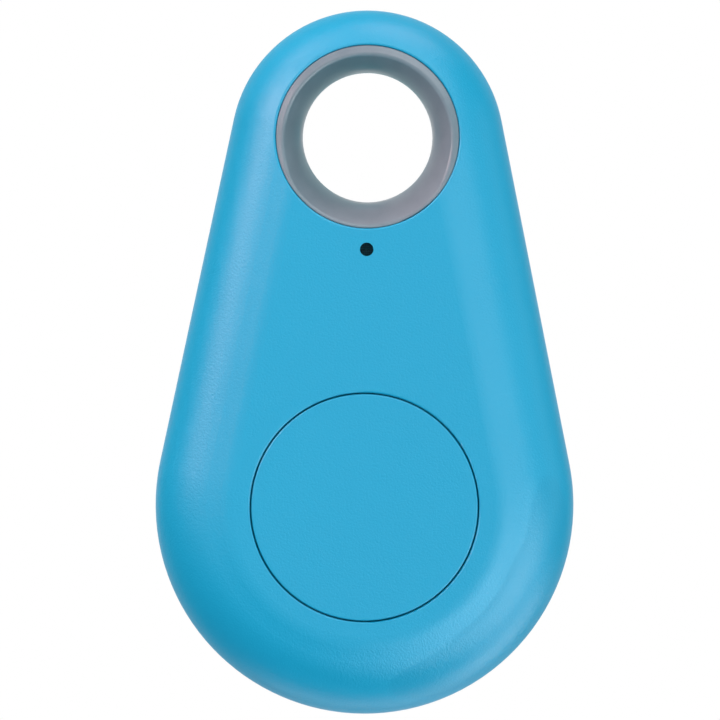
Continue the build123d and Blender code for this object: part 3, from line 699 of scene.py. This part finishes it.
def lay_floor():
    """A pale paper floor under the tag. It glows evenly, so the tinted lights leave it neutral."""
    place = (0, 0, FLOOR_Z)
    bpy.ops.mesh.primitive_circle_add(vertices=96, radius=FLOOR_R, fill_type="NGON", location=place)
    floor = bpy.context.object
    floor.name = "floor"
    material, tree, shader = new_material("floor_paper")
    fibre = noise(tree, scale=40)
    drift_colour(tree, shader, fibre, dark=(0.42, 0.33, 0.31), light=(0.45, 0.35, 0.33))
    shader.inputs["Roughness"].default_value = 0.9
    shader.inputs["Emission Color"].default_value = (FLOOR_GLOW, FLOOR_GLOW, FLOOR_GLOW, 1)
    shader.inputs["Emission Strength"].default_value = 1.0
    floor.data.materials.append(material)
    floor.visible_diffuse = False
    floor.visible_glossy = False


lay_floor()

# ------------------------------------------------------------------ lights

AMBIENT = (0.2, 0.86, 1.0, 1)
AMBIENT_STRENGTH = 0.5
WARM = (1, 0.68, 0.68)
PALE = (1, 0.92, 0.91)
COOL = (0.1, 0.8, 1)
REAR = (1, 0.66, 0.6)
MIDDLE = Vector((0, 0, -16.6 * MM))


def make_world():
    """A white background for the camera, and soft blue-green light from all around for the tag."""
    world = bpy.data.worlds.new("studio")
    bpy.context.scene.world = world
    world.use_nodes = True
    tree = world.node_tree
    seen = tree.nodes["Background"]
    seen.inputs["Color"].default_value = (1, 1, 1, 1)
    seen.inputs["Strength"].default_value = 1.0
    ambient = tree.nodes.new("ShaderNodeBackground")
    ambient.inputs["Color"].default_value = AMBIENT
    ambient.inputs["Strength"].default_value = AMBIENT_STRENGTH
    choose = tree.nodes.new("ShaderNodeMixShader")
    path = tree.nodes.new("ShaderNodeLightPath")
    tree.links.new(path.outputs["Is Camera Ray"], choose.inputs["Fac"])
    tree.links.new(ambient.outputs["Background"], choose.inputs[1])
    tree.links.new(seen.outputs["Background"], choose.inputs[2])
    tree.links.new(choose.outputs["Shader"], tree.nodes["World Output"].inputs["Surface"])


def soft_box(name, tilt, around, width, height, brightness, distance=0.5, tint=(1, 1, 1)):
    """A soft light aimed at the tag: tilt from the front and turn around from the right, in degrees."""
    t, a = math.radians(tilt), math.radians(around)
    away = Vector((math.sin(t) * math.cos(a), -math.cos(t), math.sin(t) * math.sin(a)))
    side = Vector((-math.sin(a), 0, math.cos(a)))
    data = bpy.data.lights.new(name, "AREA")
    data.shape = "RECTANGLE"
    data.size = width
    data.size_y = height
    data.energy = brightness * math.pi * width * height
    data.color = tint
    lamp = bpy.data.objects.new(name, data)
    placed = Matrix((side, away.cross(side), away)).transposed().to_4x4()
    placed.translation = MIDDLE + away * distance
    lamp.matrix_world = placed
    lamp.visible_camera = False
    bpy.context.scene.collection.objects.link(lamp)


make_world()
soft_box("key", 45, 62, 0.34, 0.28, 2.8)
soft_box("front", 18, 350, 0.22, 0.22, 0.9)
soft_box("front_left", 28, 158, 0.14, 0.14, 3.0, tint=WARM)
soft_box("left", 60, 152, 0.08, 0.11, 7.9, distance=0.2, tint=WARM)
soft_box("up_left", 80, 122, 0.26, 0.20, 3.6, tint=WARM)
soft_box("top", 92, 76, 0.34, 0.20, 3.4, tint=WARM)
soft_box("right", 92, 6, 0.24, 0.24, 0.9)
soft_box("low_right", 40, 318, 0.38, 0.28, 8.0, tint=PALE)
soft_box("low_mid", 62, 330, 0.36, 0.26, 5.2, tint=PALE)
soft_box("low_side", 100, 316, 0.34, 0.22, 4.4, tint=PALE)
soft_box("below", 116, 270, 0.48, 0.16, 1.8)
soft_box("bounce", 80, 268, 0.40, 0.24, 1.1, tint=COOL)
for around in range(45, 360, 90):
    soft_box("rear", 152, around, 0.5, 0.5, 0.42, distance=0.6, tint=REAR)

# ------------------------------------------------------------------ camera

AIM = Vector((-0.424 * MM, 0, -16.45 * MM))
DISTANCE = 1.2
VIEW_WIDTH = 53.2512 * MM
SENSOR = 36
ROLL = -0.48


def place_camera():
    """A camera straight in front of the tag that sees VIEW_WIDTH at the tag's plane."""
    data = bpy.data.cameras.new("camera")
    data.sensor_width = SENSOR
    data.lens = SENSOR * DISTANCE / VIEW_WIDTH
    data.clip_start = 0.01
    data.clip_end = 10
    camera = bpy.data.objects.new("camera", data)
    camera.location = AIM + Vector((0, -DISTANCE, 0))
    camera.rotation_euler = (math.radians(90), math.radians(ROLL), 0)
    bpy.context.scene.collection.objects.link(camera)
    bpy.context.scene.camera = camera
    bpy.context.scene.view_settings.view_transform = "Standard"


place_camera()

bpy.context.view_layer.update()
